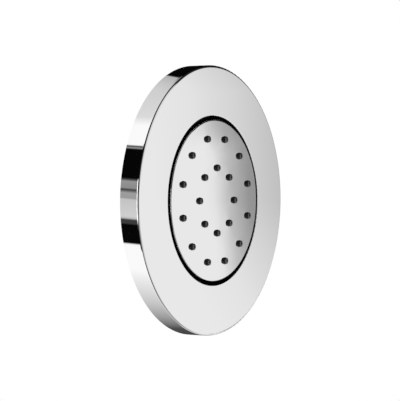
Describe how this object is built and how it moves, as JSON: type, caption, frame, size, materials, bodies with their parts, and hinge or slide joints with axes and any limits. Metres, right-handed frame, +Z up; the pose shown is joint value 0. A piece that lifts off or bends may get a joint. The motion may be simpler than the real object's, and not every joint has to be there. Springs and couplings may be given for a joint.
{
  "type": "shower body jet",
  "caption": "Round flat wall-mounted shower body jet with a slightly domed spray face of rubber nozzles that swivels on a hidden ball joint.",
  "frame": {"origin": "centre of the wall plane, which the rear of the escutcheon and of the housing flange lie on", "axes": "+Y into the wall along the inlet, the jet sprays along -Y, +Z up"},
  "size_m": [0.121, 0.044, 0.121],
  "materials": {
    "chrome": "polished",
    "black_plastic": "satin",
    "silicone": "satin",
    "rubber": "matte",
    "foam": "matte",
    "brass": "satin",
    "acetal": "satin"
  },
  "bodies": {
    "wall_unit": {"escutcheon": "chrome", "escutcheon_o_ring": "rubber", "housing": "black_plastic", "wall_gasket": "foam", "ball_stem": "brass", "stem_o_ring": "rubber", "inlet_shank": "brass", "shank_washer": "rubber", "lock_nut": "brass", "flow_regulator": "acetal", "regulator_o_ring": "rubber", "inlet_filter": "acetal"},
    "bearing": {"slide_ring": "acetal"},
    "seal": {"ball_seal": "rubber"},
    "spray_head": {"spray_face": "chrome", "nozzle_mat": "silicone", "mat_retainer": "black_plastic", "back_shell": "black_plastic", "chamber_o_ring": "rubber", "swivel_nut": "brass"}
  },
  "joints": [
    {"name": "head_pan", "type": "hinge", "parent": "wall_unit", "child": "bearing", "pos_m": [0, 0.001, 0], "axis": [0, 0, 1], "range_deg": [-8, 8]},
    {"name": "head_tilt", "type": "hinge", "parent": "bearing", "child": "seal", "pos_m": [0, 0.001, 0], "axis": [1, 0, 0], "range_deg": [-8, 8]},
    {"name": "head_spin", "type": "hinge", "parent": "seal", "child": "spray_head", "pos_m": [0, 0.001, 0], "axis": [0, -1, 0], "continuous": true}
  ]
}
